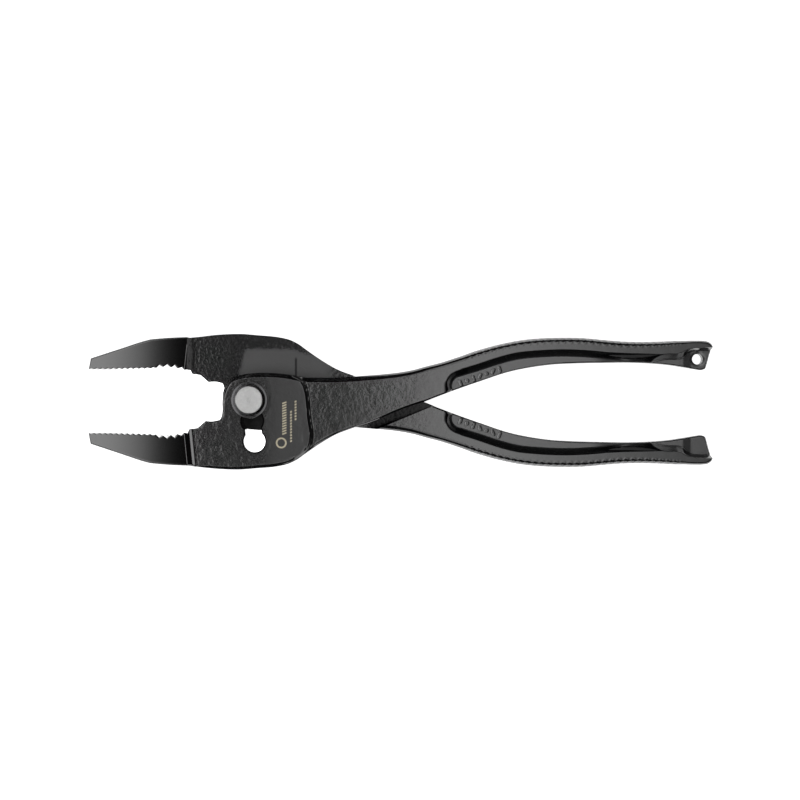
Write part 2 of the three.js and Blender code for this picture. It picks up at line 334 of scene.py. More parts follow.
def forged_skin(x, y, d):
    """Unevenness of the forged face: none on the jaw, less near edges, at the mark and on the handle."""
    share = np.clip((x - (WALL_X + 2)) / 3, 0, 1) * np.clip(d / 0.8, 0.15, 1)
    share *= np.interp(x, [17, 22, 48, 66], [1, 0.5, 0.35, 0.12])
    share *= 1 - 0.9 * np.clip((x - 6) / 3, 0, 1) * np.clip((17.5 - x) / 1.5, 0, 1)
    return share * (rumple(x, y, 0, 2.6, 0.07) + rumple(x, y, 40, 1.2, 0.035))


def row_spacing(x):
    """Distance between rows of vertices: fine on the handle and at the jaw's step, coarse on the neck."""
    if x > 62:
        return 0.23
    if x > 20:
        return 0.7
    if -22.5 < x < -17:
        return 0.12
    return 0.3


def stations():
    """Partner points on the lower and upper edges, tip to handle's end, with the rounding at each."""
    upper, at_upper = smooth_curve([u[:2] for u in UPPER], [u[2] for u in UPPER], 0.08)
    lower, at_lower = smooth_curve([p[:2] for p in LOWER], [p[2] for p in LOWER], 0.08)
    s_up, s_lo = arc_length(upper), arc_length(lower)
    keys = [(s_lo[-1] if i == len(UPPER) - 1 else np.interp(u[3], lower[:, 0], s_lo), s_up[at_upper[i]])
            for i, u in enumerate(UPPER) if u[3] is not None]
    keys[0] = (0.0, 0.0)
    corners = [s_up[at_upper[i]] for i, u in enumerate(UPPER) if u[2]]
    pairs = []
    for (l0, u0), (l1, u1) in zip(keys[:-1], keys[1:]):
        spacing = row_spacing(np.interp(u0, s_up, upper[:, 0]))
        n = max(1, int(math.ceil(max(l1 - l0, u1 - u0) / spacing)))
        f = list(np.linspace(0, 1, n + 1)[:-1])
        f += [(c - u0) / (u1 - u0) for c in corners if u0 < c < u1]
        f = sorted(f)
        f = [v for i, v in enumerate(f) if i == 0 or (v - f[i - 1]) * max(l1 - l0, u1 - u0) > 0.04]
        pairs += [(l0 + v * (l1 - l0), u0 + v * (u1 - u0)) for v in f]
    pairs.append(keys[-1])
    # closer together at both ends, where the end faces meet the rounded edges
    (a, b), (c, d) = pairs[0], pairs[1]
    head = [(a + v * (c - a), b + v * (d - b)) for v in (0.25, 0.6)]
    pairs = [pairs[0]] + head + pairs[1:]
    (a, b), (c, d) = pairs[-2], pairs[-1]
    tail = [(a + v * (c - a), b + v * (d - b)) for v in (0.4, 0.75)]
    pairs = pairs[:-1] + tail + [pairs[-1]]
    pairs = np.array(pairs)
    low = np.stack([np.interp(pairs[:, 0], s_lo, lower[:, k]) for k in (0, 1)], 1)
    high = np.stack([np.interp(pairs[:, 1], s_up, upper[:, k]) for k in (0, 1)], 1)
    round_lo = [np.interp(pairs[:, 0], s_lo[at_lower], [p[k] for p in LOWER]) for k in (3, 4)]
    round_up = [np.interp(pairs[:, 1], s_up[at_upper], [u[k] for u in UPPER]) for k in (4, 5)]
    return low, high, round_lo, round_up, pairs[:, 1]


# columns of a ring: across the rounded edges, the face between them, and the two edge walls
ROUND_LO, INNER, ROUND_UP, WALL_UP, WALL_LO = 5, 32, 10, 16, 4
FACE_COLUMNS = ROUND_LO + INNER + ROUND_UP + 1


def slope_lines(low, high):
    """Where the foot and crest of the slope beside the web and tab cross each row, as shares of its width,
    and how closely the row's vertices follow them."""
    n = len(low)
    probe = np.linspace(0, 1, 81)
    flat = (low[:, None] + (high - low)[:, None] * probe[None, :, None]).reshape(-1, 2)
    web = polygon_distance(flat, WEB_FLOOR) / web_ramp(flat[:, 0])
    tab = polygon_distance(flat, TAB_FLOOR) / tab_ramp(flat[:, 0])
    gap = np.minimum(web, tab).reshape(n, -1)
    foot, crest = np.full(n, np.nan), np.full(n, np.nan)
    for i in range(n):
        if gap[i, 0] < 0.1:
            foot[i] = np.interp(0.0, gap[i], probe) if gap[i, 0] < 0 else 0.0
            crest[i] = np.interp(1.0, gap[i], probe)
    known = np.flatnonzero(~np.isnan(foot))
    index = np.arange(n)
    reach = 4  # rows to each side that the lines are averaged over
    kernel = np.ones(2 * reach + 1) / (2 * reach + 1)
    foot, crest = [
        np.convolve(np.pad(np.interp(index, known, line[known]), reach, "edge"), kernel, "valid")
        for line in (foot, crest)]
    ease = np.clip((index - (known[0] - 40)) / 34, 0, 1)
    return foot, crest, ease * ease * (3 - 2 * ease)


def face_points(low, high, round_lo, round_up):
    """Plan of the upper face's vertices, row by row, closer together on rounded edges and beside the web."""
    foot, crest, ease = slope_lines(low, high)
    width = np.linalg.norm(high - low, axis=1)
    bend_lo = np.linspace(0, math.pi / 2, ROUND_LO + 1)
    bend_up = np.linspace(math.pi / 2, 0, ROUND_UP + 1)
    steps = np.array([0, 0.1, 0.22, 0.34, 0.45, 0.55, 0.64, 0.72, 0.79, 0.85, 0.9, 0.94, 0.97])
    points = np.zeros((len(low), FACE_COLUMNS, 2))
    for i in range(len(low)):
        a = min(round_lo[0][i] * 1.25, 0.2 * width[i]) / width[i]
        b = 1 - min(round_up[0][i] * 1.1, 0.35 * width[i]) / width[i]
        first = a * (1 - np.cos(bend_lo))
        last = b + (1 - b) * np.cos(bend_up)
        even = np.linspace(a, b, INNER + 1)
        f, c = np.clip(foot[i], a + 0.02, b - 0.2), np.clip(crest[i], a + 0.1, b - 0.06)
        shaped = np.concatenate([np.linspace(a, f, 11)[:-1], f + (c - f) * steps, np.linspace(c, b, 10)])
        across = np.concatenate([first[:-1], even + (shaped - even) * ease[i], last[1:]])
        points[i] = low[i] + (high[i] - low[i]) * across[:, None]
    return points


def edge_distance(flat, outline, rounding):
    """Distance from each point to the outline, and the width and depth of the rounding that holds there."""
    samples = []
    for k in range(len(outline)):
        a, b = outline[k], outline[(k + 1) % len(outline)]
        ra, rb = rounding[k], rounding[(k + 1) % len(outline)]
        steps = max(1, int(np.linalg.norm(b - a) / 0.06))
        for t in np.arange(steps) / steps:
            samples.append((*(a + t * (b - a)), *(ra + t * (rb - ra))))
    samples = np.array(samples)
    tree = kdtree.KDTree(len(samples))
    for k, q in enumerate(samples):
        tree.insert((q[0], q[1], 0), k)
    tree.balance()
    nearest = np.array([tree.find((p[0], p[1], 0))[1] for p in flat])
    d = np.full(len(flat), 1e9)
    for offset in (-1, 0):
        a = samples[(nearest + offset) % len(samples), :2]
        b = samples[(nearest + offset + 1) % len(samples), :2]
        v = b - a
        t = np.clip(((flat - a) * v).sum(1) / ((v * v).sum(1) + 1e-12), 0, 1)
        d = np.minimum(d, np.linalg.norm(flat - a - t[:, None] * v, axis=1))
    return d, samples[nearest, 2], samples[nearest, 3]


def face_height(points, outline, rounding):
    """Height of the upper face's vertices, with rounded edges, forged skin and the marks on the web."""
    n, columns = points.shape[:2]
    flat = points.reshape(-1, 2)
    level, web = face_level(flat)
    d, r, depth = edge_distance(flat, outline, rounding)
    depth = np.minimum(depth, level * 0.6)
    inward = np.clip((r - d) / r, 0, 1)
    x, y = flat[:, 0], flat[:, 1]
    # a bevel all round, but round over on the handle's outer side
    outer = np.clip((x - 34) / 28, 0, 1) * (columns // 2 < np.tile(np.arange(columns), n))
    bevel = soft_step(inward * 1.08 - 0.1, 0.13) * 1.02
    z = level - depth * (bevel + (1 - np.sqrt(1 - inward**2) - bevel) * outer)
    z += forged_skin(x, y, d)
    z += web_marks(flat) * (web < 0.1)
    return z.reshape(n, -1)


def outward(edge, side):
    """Unit directions away from the forging along an edge line: side 1 is the upper edge, -1 the lower."""
    tangent = np.gradient(edge, axis=0)
    out = side * np.stack([-tangent[:, 1], tangent[:, 0]], 1)
    return out / (np.linalg.norm(out, axis=1)[:, None] + 1e-9)


KNURL_PITCH, KNURL_DEPTH = 2.33, 0.13
KNURL_SPAN = (69, 143.5)


def cut_knurl(v, high, s_up):
    """Cuts the diamond knurl into the handle's outer side, between its rounded corners."""
    along = np.gradient(v, axis=0)
    around = np.roll(v, -1, axis=1) - np.roll(v, 1, axis=1)
    normal = np.cross(around, along)
    normal /= np.linalg.norm(normal, axis=2)[:, :, None] + 1e-12
    middle = FACE_COLUMNS + WALL_UP // 2 - 1
    hop = np.linalg.norm(v - np.roll(v, 1, axis=1), axis=2)
    q = np.cumsum(hop, axis=1)
    q -= q[:, middle:middle + 1]
    edge = np.abs(q[:, FACE_COLUMNS - 1 - ROUND_UP])[:, None]
    s, x = s_up[:, None], high[:, 0][:, None]
    cut = np.maximum(np.abs(2 * ((s + q) / KNURL_PITCH % 1) - 1), np.abs(2 * ((s - q) / KNURL_PITCH % 1) - 1))
    groove = np.clip((cut - 0.6) / 0.4, 0, 1)
    window = np.clip((x - KNURL_SPAN[0]) / 4, 0, 1) * np.clip((KNURL_SPAN[1] - x) / 2, 0, 1)
    window = window * np.clip((edge - 0.12 - np.abs(q)) / 0.35, 0, 1)
    v -= normal * (KNURL_DEPTH * groove * window)[:, :, None]


def lever_solid():
    """The whole forging before the lap and the holes are cut: rings of vertices, as an array.

    A ring runs over the upper face, down the upper edge's wall, back under, and up the lower edge's wall."""
    low, high, round_lo, round_up, s_up = stations()
    outline = np.concatenate([low, high[::-1]])
    rounding = np.concatenate([np.stack(round_lo, 1), np.stack(round_up, 1)[::-1]])
    points = face_points(low, high, round_lo, round_up)
    z = face_height(points, outline, rounding)
    v = np.zeros((len(low), 2 * FACE_COLUMNS + (WALL_UP - 1) + (WALL_LO - 1), 3))
    v[:, :FACE_COLUMNS, :2], v[:, :FACE_COLUMNS, 2] = points, z
    under = slice(FACE_COLUMNS + WALL_UP - 1, 2 * FACE_COLUMNS + WALL_UP - 1)
    v[:, under, :2], v[:, under, 2] = points[:, ::-1], -z[:, ::-1]
    swell_up = np.clip((high[:, 0] + 5) / 6, 0, 1) * np.clip((149 - high[:, 0]) / 3, 0, 1) * 0.18
    swell_lo = np.clip((low[:, 0] + 18) / 6, 0, 1) * np.clip((146 - low[:, 0]) / 3, 0, 1) * 0.12
    for edge, side, swell, height, count, first in (
            (high, 1, swell_up, z[:, -1], WALL_UP, FACE_COLUMNS),
            (low, -1, swell_lo, -z[:, 0], WALL_LO, under.stop)):
        out = outward(edge, side)
        for k in range(1, count):
            t = k / count
            v[:, first + k - 1, :2] = edge + out * (swell * 4 * t * (1 - t))[:, None]
            v[:, first + k - 1, 2] = height * (1 - 2 * t)
    cut_knurl(v, high, s_up)
    return v


def face_outwards(mesh, weld=0.0):
    """Turns all faces outwards, after joining vertices closer than weld."""
    work = bmesh.new()
    work.from_mesh(mesh)
    if weld:
        bmesh.ops.remove_doubles(work, verts=work.verts, dist=weld)
    bmesh.ops.recalc_face_normals(work, faces=work.faces)
    work.to_mesh(mesh)
    work.free()


def rings_to_mesh(name, v):
    """A closed mesh from rings of vertices, with a face over each end."""
    n, total, _ = v.shape
    ids = np.arange(n * total).reshape(n, total)
    nxt = np.roll(ids, -1, axis=1)
    quads = np.stack([ids[:-1], nxt[:-1], nxt[1:], ids[1:]], -1).reshape(-1, 4)
    faces = [tuple(f) for f in quads.tolist()]
    faces.append(tuple(ids[0][::-1].tolist()))
    faces.append(tuple(ids[-1].tolist()))
    mesh = bpy.data.meshes.new(name)
    mesh.from_pydata(v.reshape(-1, 3).tolist(), [], faces)
    face_outwards(mesh, 1e-4)
    return mesh


def prism(levels):
    """A solid from stacked outlines: [(z, points), ...], all with the same number of points."""
    count = len(levels[0][1])
    verts = [(x, y, z) for z, points in levels for x, y in points]
    faces = [tuple(range(count))[::-1], tuple(range(count * (len(levels) - 1), count * len(levels)))]
    for k in range(len(levels) - 1):
        for i in range(count):
            j = (i + 1) % count
            faces.append((k * count + i, k * count + j, (k + 1) * count + j, (k + 1) * count + i))
    return verts, faces


def merged(parts):
    """One mesh from several prisms."""
    verts, faces = [], []
    for v, f in parts:
        faces += [tuple(i + len(verts) for i in face) for face in f]
        verts += v
    mesh = bpy.data.meshes.new("cutter")
    mesh.from_pydata(verts, [], faces)
    face_outwards(mesh)
    return mesh


def circle(x, y, r, sides=64):
    """Points on a circle."""
    turns = [2 * math.pi * i / sides for i in range(sides)]
    return [(x + r * math.cos(a), y + r * math.sin(a)) for a in turns]


def slot_points(grow, steps=22):
    """The keyhole slot: three overlapping round holes in a row, from the pin towards the jaw's side."""
    r, half = SLOT_R + grow, SLOT_NECK / 2 + grow
    turn = math.asin(half / r)
    arcs = [(0, turn, 2 * math.pi - turn), (1, math.pi + turn, 2 * math.pi - turn),
            (2, math.pi + turn, 3 * math.pi - turn), (1, turn, math.pi - turn)]
    slip = Vector((SLIP[0], SLIP[1]))
    points = []
    for stop, start, end in arcs:
        for i in range(steps + 1):
            a = start + (end - start) * i / steps
            u, w = stop * SLOT_PITCH + r * math.cos(a), r * math.sin(a)
            # the slot runs against the slip's direction
            points.append((-slip.x * u + slip.y * w, PIN_Y - slip.y * u - slip.x * w))
    return points


def boolean_cut(mesh, cutter, name):
    """The mesh less the cutter."""
    body = bpy.data.objects.new(name + "_body", mesh)
    tool = bpy.data.objects.new(name + "_tool", cutter)
    for o in (body, tool):
        bpy.context.scene.collection.objects.link(o)
    mod = body.modifiers.new("cut", "BOOLEAN")
    mod.operation, mod.object, mod.solver = "DIFFERENCE", tool, "EXACT"
    bpy.context.view_layer.update()
    graph = bpy.context.evaluated_depsgraph_get()
    result = bpy.data.meshes.new_from_object(body.evaluated_get(graph))
    for o in (body, tool):
        bpy.data.objects.remove(o)
    bpy.data.meshes.remove(cutter)
    return result


SHOULDER = ((34.6, 12), (70, -3))  # near and far ends of the lap's shoulder
# height, and how far the shoulder's foot reaches at its near and far ends: a slope, steeper as it rises
LAP_CUT = [(-12, 0, 0), (LAP - 2.2, 0, 0), (LAP - 1.2, 0.3, -0.2), (LAP - 0.5, 0.7, -0.4),
           (LAP - 0.29, 1.0, -0.5), (LAP, 2.0, -0.7)]


def lap_area(near, far):
    """Plan of the lap, with its shoulder moved back towards the pin at its near and far ends."""
    (near_x, near_y), (far_x, far_y) = [
        (x - 0.39 * back, y - 0.921 * back) for (x, y), back in zip(SHOULDER, (near, far))]
    return [(WALL_X, -40), (far_x, -40), (far_x, far_y), (near_x, near_y), (near_x, 30), (WALL_X, 30)]


def finish_mesh(mesh, angle):
    """Smooth shading, with edges sharper than the angle in degrees kept sharp."""
    for face in mesh.polygons:
        face.use_smooth = True
    mesh.set_sharp_from_angle(angle=math.radians(angle))


def make_lever(name, base, holes, turned):
    """A lever from the forging: the lap and the holes cut, then laid in place or turned over onto it."""
    lap = prism([(z, lap_area(near, far)) for z, near, far in LAP_CUT])
    mesh = boolean_cut(base.copy(), merged([lap]), name)
    mesh = boolean_cut(mesh, merged(holes), name)
    mesh.name = name
    place = LEVER_PLACE
    if turned:
        pin = Matrix.Translation(Vector(PIVOT))
        swing = pin @ Matrix.Rotation(TURN, 4, "Z") @ pin.inverted()
        place = swing @ place @ Matrix.Rotation(math.pi, 4, "X")
    mesh.transform(place @ Matrix.Scale(MM, 4))
    finish_mesh(mesh, 38)
    piece = bpy.data.objects.new(name, mesh)
    bpy.context.scene.collection.objects.link(piece)
    return piece


base = rings_to_mesh("forging", lever_solid())
slot_cut = prism([(-1, slot_points(0)), (BOSS - 0.42, slot_points(0)), (BOSS + 0.6, slot_points(1.02))])
eye_cut = prism([(z, circle(*EYE, r)) for z, r in (
    (-6, EYE_R + 0.95), (-TAB - 0.05, EYE_R + 0.95), (-TAB + 0.4, EYE_R),
    (TAB - 0.4, EYE_R), (TAB + 0.05, EYE_R + 0.95), (6, EYE_R + 0.95))])
front = make_lever("slotted_lever", base, [slot_cut, eye_cut], False)
bore_cut = prism([(z, circle(0, -PIN_Y, r)) for z, r in (
    (-1, BORE_R), (BOSS - SEAT_DEPTH, BORE_R), (BOSS - SEAT_DEPTH, SEAT_R),
    (BOSS - 0.3, SEAT_R), (BOSS + 0.5, SEAT_R + 0.8))])
rear = make_lever("bored_lever", base, [bore_cut], True)
bpy.data.meshes.remove(base)
for piece, node in ((front, "front_lever"), (rear, "rear_lever")):
    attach(piece, node)
    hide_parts(node)


# ---------------------------------------------------------------- bolt and nut
FLANGE_R, HEAD_R, TAIL_R = 6.0, 4.4, 2.5
SHANK_R, SHANK_FLATS, JOURNAL_R = 3.45, 5.0, 4.0
NUT_FLATS, NUT_H = 9.4, 2.5
THREAD_PITCH, THREAD_DEPTH = 0.65, 0.28
UNDER = BOSS + 0.1  # the flange's underside
TOP = (BOLT_TOP - PIVOT[2]) / MM
FACE = TOP - 0.16  # the bright face lies above it, the dark flank below


def lathe(name, profile, sides=96):
    """A turned solid from (radius, height) in mm, from axis to axis, on the pivot axis."""
    verts, rings = [], []
    for r, z in profile:
        if r == 0:
            rings.append([len(verts)])
            verts.append((0, 0, z))
        else:
            rings.append(list(range(len(verts), len(verts) + sides)))
            verts += [(x, y, z) for x, y in circle(0, 0, r, sides)]
    faces = []
    for a, b in zip(rings[:-1], rings[1:]):
        for i in range(sides):
            j = (i + 1) % sides
            quad = [a[i % len(a)], a[j % len(a)], b[j % len(b)], b[i % len(b)]]
            faces.append(tuple(dict.fromkeys(quad)))
    mesh = bpy.data.meshes.new(name)
    mesh.from_pydata(verts, [], faces)
    return mesh


def arc(r0, z0, r1, z1, steps):
    """Points of a quarter ellipse from one profile point to the next, bulging outwards."""
    turns = [math.pi / 2 * i / steps for i in range(1, steps + 1)]
    return [(r0 + (r1 - r0) * math.sin(a), z0 + (z1 - z0) * (1 - math.cos(a))) for a in turns]


def place_turned(name, mesh, node, angle):
    """Puts a piece on the pivot axis in place of its CAD node."""
    face_outwards(mesh)
    mesh.transform(Matrix.Translation(Vector(PIVOT)) @ Matrix.Scale(MM, 4))
    finish_mesh(mesh, angle)
    piece = bpy.data.objects.new(name, mesh)
    bpy.context.scene.collection.objects.link(piece)
    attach(piece, "pivot")
    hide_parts(node)
    return piece


def bolt_mesh():
    """Faced head with a centre mark, coned flank, journal and ringed tail; the shank's flats are cut last."""
    face = TOP - 0.06
    profile = [(0, face - 0.09), (0.35, face - 0.075), (0.7, face - 0.02), (0.95, face)]
    profile += [(r, face + 0.05 * (r - 0.8) / 3.4) for r in np.linspace(1.2, 3.9, 10)]
    profile += [(4.2, TOP), (HEAD_R - 0.1, TOP - 0.02), (HEAD_R, TOP - 0.14)]
    profile += [(r, TOP - 0.14 - 0.9 * (r - HEAD_R)) for r in np.linspace(HEAD_R, 5.2, 4)[1:]]
    profile += [(5.25, TOP - 0.9), (5.8, TOP - 1.0)]
    profile += arc(5.8, TOP - 1.0, FLANGE_R, TOP - 1.2, 4)
    profile += [(FLANGE_R, UNDER + 0.15), (FLANGE_R - 0.15, UNDER), (SHANK_R, UNDER)]
    profile += [(SHANK_R, 0), (JOURNAL_R, 0), (JOURNAL_R, -BOSS + SEAT_DEPTH), (TAIL_R, -BOSS + SEAT_DEPTH)]
    z = -BOSS + SEAT_DEPTH - 0.1
    root = TAIL_R - THREAD_DEPTH
    while z > -BOSS + 0.75:
        profile += [(TAIL_R, z), (TAIL_R, z - 0.1), (root, z - 0.35), (root, z - 0.4)]
        z -= THREAD_PITCH
    profile += [(TAIL_R, -BOSS + 0.45), (TAIL_R, -BOSS + 0.35), (TAIL_R - 0.35, -BOSS), (0, -BOSS)]
    mesh = lathe("pivot_bolt", profile)
    face_outwards(mesh)
    turn = math.atan2(-SLIP[1], -SLIP[0])
    sides = []
    for sign in (1, -1):
        box = [(-6, sign * SHANK_FLATS / 2), (6, sign * SHANK_FLATS / 2), (6, sign * 6), (-6, sign * 6)]
        c, d = math.cos(turn), math.sin(turn)
        box = [(x * c - y * d, x * d + y * c) for x, y in box]
        sides.append(prism([(0.002, box), (UNDER - 0.002, box)]))
    return boolean_cut(mesh, merged(sides), "bolt")


def nut_mesh():
    """Hexagon nut with a chamfered outer face and a countersunk thread, flush in its seat."""
    bore, crown, sides = TAIL_R + 0.12, NUT_FLATS / 2 - 0.12, 96
    rows = [[(x, y, z) for x, y in circle(0, 0, r, sides)]
            for r, z in ((bore, NUT_H), (bore, 0.45), (bore + 0.3, 0.0), (crown, 0.0))]
    corners = []
    for i in range(sides):
        a = 2 * math.pi * i / sides
        wedge = (a + math.pi / 6) % (math.pi / 3) - math.pi / 6
        corners.append((NUT_FLATS / 2 / math.cos(wedge), a))
    rows.append([(r * math.cos(a), r * math.sin(a), 0.58 * (r - crown)) for r, a in corners])
    rows.append([(r * math.cos(a), r * math.sin(a), NUT_H) for r, a in corners])
    verts = [(x, y, z - BOSS) for row in rows for x, y, z in row]
    faces = []
    for k in range(len(rows)):
        m = (k + 1) % len(rows)
        for i in range(sides):
            j = (i + 1) % sides
            faces.append((k * sides + i, k * sides + j, m * sides + j, m * sides + i))
    mesh = bpy.data.meshes.new("pivot_nut")
    mesh.from_pydata(verts, [], faces)
    return mesh


bolt = place_turned("bolt", bolt_mesh(), "pivot_bolt", 25)
nut = place_turned("nut", nut_mesh(), "pivot_nut", 25)


# ---------------------------------------------------------------- etched mark on the boss
MARK_RING = (10.3, -13.6, 1.25, 1.8)  # x, y, inner and outer radius
# x of the middle, width, lowest y, and length and number of the dashes
MARK_ROWS = ((11.3, 1.4, -11.0, 0.5, 13), (13.5, 0.6, -13.4, 0.62, 11), (15.0, 0.6, -6.2, 0.62, 7))
DASH_GAP, DASH_SLANT = 0.34, 0.35


def etched_mark():
    """A ring and rows of plain slanted dashes, a hair proud of the boss."""
    x, y, inner, outer = MARK_RING
    rim, hole = circle(x, y, outer, 40), circle(x, y, inner, 40)
    shapes = [(hole[i - 1], rim[i - 1], rim[i], hole[i]) for i in range(40)]
    for middle, width, start, length, count in MARK_ROWS:
        left, right, rise = middle - width / 2, middle + width / 2, DASH_SLANT * width
        for i in range(count):
            y = start + i * (length + DASH_GAP)
            shapes.append(((left, y), (right, y + rise), (right, y + rise + length), (left, y + length)))
    verts = [(px, py, BOSS + 0.015) for shape in shapes for px, py in shape]
    mesh = bpy.data.meshes.new("etched_mark")
    mesh.from_pydata(verts, [], [tuple(range(4 * i, 4 * i + 4)) for i in range(len(shapes))])
    mesh.transform(LEVER_PLACE @ Matrix.Scale(MM, 4))
    piece = bpy.data.objects.new("etched_mark", mesh)
    bpy.context.scene.collection.objects.link(piece)
    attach(piece, "front_lever")
    return piece


mark = etched_mark()


# ---------------------------------------------------------------- materials
class Shader:
    """A Principled material with short calls for the nodes that drive it."""

    def __init__(self, name, metallic, ior=1.5):
        self.material = bpy.data.materials.new(name)
        self.material.use_nodes = True
        self.nodes, self.links = self.material.node_tree.nodes, self.material.node_tree.links
        self.out = self.nodes["Principled BSDF"]
        self.out.inputs["Metallic"].default_value = metallic
        self.out.inputs["IOR"].default_value = ior
        self.coords = self.nodes.new("ShaderNodeTexCoord")

    def put(self, value, socket):
        """Links a socket, or sets a number or colour."""
        if isinstance(value, bpy.types.NodeSocket):
            self.links.new(value, socket)
        else:
            socket.default_value = value

    def noise(self, scale, detail, rough, stretch=None):
        node = self.nodes.new("ShaderNodeTexNoise")
        node.inputs["Scale"].default_value = scale
        node.inputs["Detail"].default_value = detail
        node.inputs["Roughness"].default_value = rough
        source = self.coords.outputs["Object"]
        if stretch:
            mapping = self.nodes.new("ShaderNodeMapping")
            mapping.inputs["Scale"].default_value = stretch
            self.links.new(source, mapping.inputs["Vector"])
            source = mapping.outputs["Vector"]
        self.links.new(source, node.inputs["Vector"])
        return node.outputs["Fac"]

    def math(self, kind, a, b=0.0):
        node = self.nodes.new("ShaderNodeMath")
        node.operation = kind
        self.put(a, node.inputs[0])
        self.put(b, node.inputs[1])
        return node.outputs[0]

    def product(self, first, *others):
        for other in others:
            first = self.math("MULTIPLY", first, other)
        return first

    def away(self, value, middle=0.0):
        """Distance of a value from the middle."""
        return self.math("ABSOLUTE", self.math("SUBTRACT", value, middle))

    def remap(self, value, low, high, to_low=0.0, to_high=1.0):
        """A smooth step from to_low, at low, to to_high, at high."""
        node = self.nodes.new("ShaderNodeMapRange")
        node.interpolation_type = "SMOOTHSTEP"
        for socket, number in zip(("From Min", "From Max", "To Min", "To Max"), (low, high, to_low, to_high)):
            node.inputs[socket].default_value = number
        self.put(value, node.inputs["Value"])
        return node.outputs["Result"]

    def blend(self, share, a, b):
        """a where share is 0 and b where it is 1, for numbers."""
        return self.math("ADD", a, self.math("MULTIPLY", share, self.math("SUBTRACT", b, a)))

    def colour(self, share, a, b):
        node = self.nodes.new("ShaderNodeMix")
        node.data_type = "RGBA"
        self.put(share, node.inputs[0])
        for value, socket in ((a, node.inputs[6]), (b, node.inputs[7])):
            self.put(value, socket)
        return node.outputs[2]

    def axes(self, which="Object"):
        node = self.nodes.new("ShaderNodeSeparateXYZ")
        self.links.new(self.coords.outputs[which], node.inputs[0])
        return node.outputs

    def bump(self, height, distance):
        node = self.nodes.new("ShaderNodeBump")
        node.inputs["Distance"].default_value = distance
        node.inputs["Strength"].default_value = 1.0
        self.put(height, node.inputs["Height"])
        self.links.new(node.outputs["Normal"], self.out.inputs["Normal"])

    def finish(self, colour, roughness):
        self.put(colour, self.out.inputs["Base Color"])
        self.put(roughness, self.out.inputs["Roughness"])
        return self.material


def grey(tone, blue=0.0):
    """A neutral colour with a trace of blue."""
    return (tone, tone, tone + blue, 1)


def lever_zones(s, lap):
    """Shares from 0 to 1 of the lever's surfaces, with x, y and z in metres; lap is the height of the lap."""
    x, y, z = s.axes()
    height = s.math("MULTIPLY", s.away(z, PIVOT[2]), 1 / MM)  # in mm from the lap plane, on either face
    side = s.away(y)
    upright = s.away(s.axes("Normal")[2])  # 1 on level faces and 0 on walls
    on_lap = s.remap(s.away(z, lap), 0.0001, 0.00005)
    # the jaw's ground faces end at a step that leans with the jaw
    lean = s.math("SUBTRACT", x, s.math("MULTIPLY", s.math("SUBTRACT", side, 0.0137), 0.1))
    step = s.product(s.remap(lean, -0.0182, -0.0186), s.remap(height, 3.0, 3.2))
    # the bearing land round the pin has wandering borders, and its outer one bends down with the outline
    wander = s.math("MULTIPLY", s.math("SUBTRACT", s.noise(420, 2, 0.5), 0.5), 0.0012)
    left = s.math("SUBTRACT", x, s.math("MULTIPLY", s.math("SUBTRACT", side, 0.0079), 0.24))
    border = s.math("ADD", s.math("ADD", side, wander), s.remap(x, 0.010, 0.026, 0.0, 0.003))
    land = (s.remap(s.math("ADD", left, wander), -0.0054, -0.0032), s.remap(x, 0.0285, 0.023),
            s.remap(border, 0.0178, 0.0160), on_lap)
    return {
        "ground": s.math("MAXIMUM", s.remap(x, -0.02115, -0.02135), step),
        "plate": s.remap(x, 0.066, 0.05),
        "raised": s.remap(height, 1.0, 3.0),
        "satin": s.product(s.remap(x, 0.001, 0.011), s.remap(height, 5.0, 5.3), s.remap(x, 0.0205, 0.0185)),
        "web": s.product(s.remap(height, 3.0, 2.8), s.remap(x, 0.064, 0.066)),
        "neck": s.remap(s.product(x, s.remap(height, 3.0, 4.0)), 0.018, 0.03),
        "land": s.product(*land),
        "tilt": s.remap(upright, 0.975, 0.9),
        "shaded": shaded_zones(s, x, y, side, height, upright, on_lap),
    }


def shaded_zones(s, x, y, side, height, upright, on_lap):
    """What the studio's light hardly reaches."""
    notch = (on_lap, s.remap(s.away(x, 0.0146), 0.0006, 0.0), s.remap(side, 0.0146, 0.0134))
    slot_floor = (on_lap, s.remap(y, -0.002, -0.003), s.remap(y, -0.0106, -0.01),
                  s.remap(s.away(x), 0.0085, 0.0078))
    web_end = (s.remap(x, 0.062, 0.063), s.remap(x, 0.0725, 0.071), s.remap(height, 2.9, 3.0),
               s.remap(height, 4.78, 4.7), s.remap(side, 0.0112, 0.0104))
    waist = (s.remap(x, 0.112, 0.118), s.remap(x, 0.1465, 0.1455), s.remap(height, 2.5, 2.6),
             s.remap(height, 4.75, 4.65), s.remap(side, 0.0178, 0.0170))
    shoulder_foot = (s.remap(upright, 0.15, 0.3), s.remap(x, 0.036, 0.040), s.remap(x, 0.076, 0.072),
                     s.remap(height, 2.2, 2.0))
    boss_ends = (s.remap(upright, 0.85, 0.75), s.remap(height, 3.0, 3.3), s.remap(x, 0.0120, 0.0130),
                 s.remap(x, 0.0215, 0.0205))
    shaded = s.product(*notch)
    for zone in (slot_floor, web_end, waist, shoulder_foot, boss_ends):
        shaded = s.math("MAXIMUM", shaded, s.product(*zone))
    return shaded


